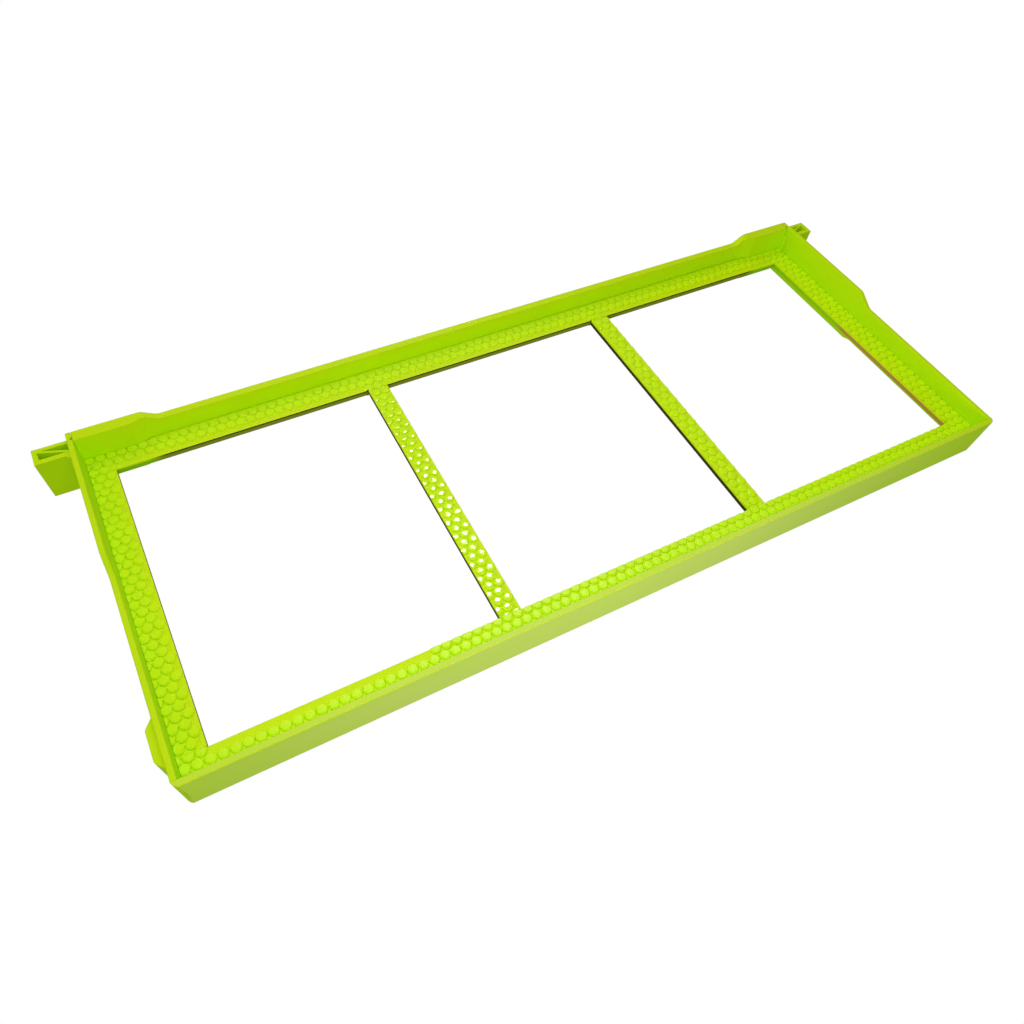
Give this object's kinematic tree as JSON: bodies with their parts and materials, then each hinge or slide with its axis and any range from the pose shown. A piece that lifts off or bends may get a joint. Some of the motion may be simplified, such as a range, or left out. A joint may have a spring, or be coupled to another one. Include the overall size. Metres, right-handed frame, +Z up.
{
  "type": "plastic hive frame",
  "caption": "Moulded plastic beehive frame with hanging lugs, self-spacing shoulders, end spacers and a beaded cell web with open windows.",
  "frame": {"origin": "on the surface under the frame as it lies flat, below the middle of its length and depth", "axes": "+X along the top bar to the right, +Y from the bottom bar to the top bar, +Z up through the width"},
  "size_m": [0.482, 0.185, 0.0327],
  "materials": {
    "bar_plastic": "satin",
    "cell_plastic": "gloss"
  },
  "bodies": {
    "root": {"top_bar": "bar_plastic", "bottom_bar": "bar_plastic", "left_end_bar": "bar_plastic", "right_end_bar": "bar_plastic", "left_end_spacer": "bar_plastic", "right_end_spacer": "bar_plastic", "top_cell_strip": "cell_plastic", "bottom_cell_strip": "cell_plastic", "left_cell_strip": "cell_plastic", "divider_1": "cell_plastic", "divider_2": "cell_plastic", "right_cell_strip": "cell_plastic"}
  },
  "joints": []
}
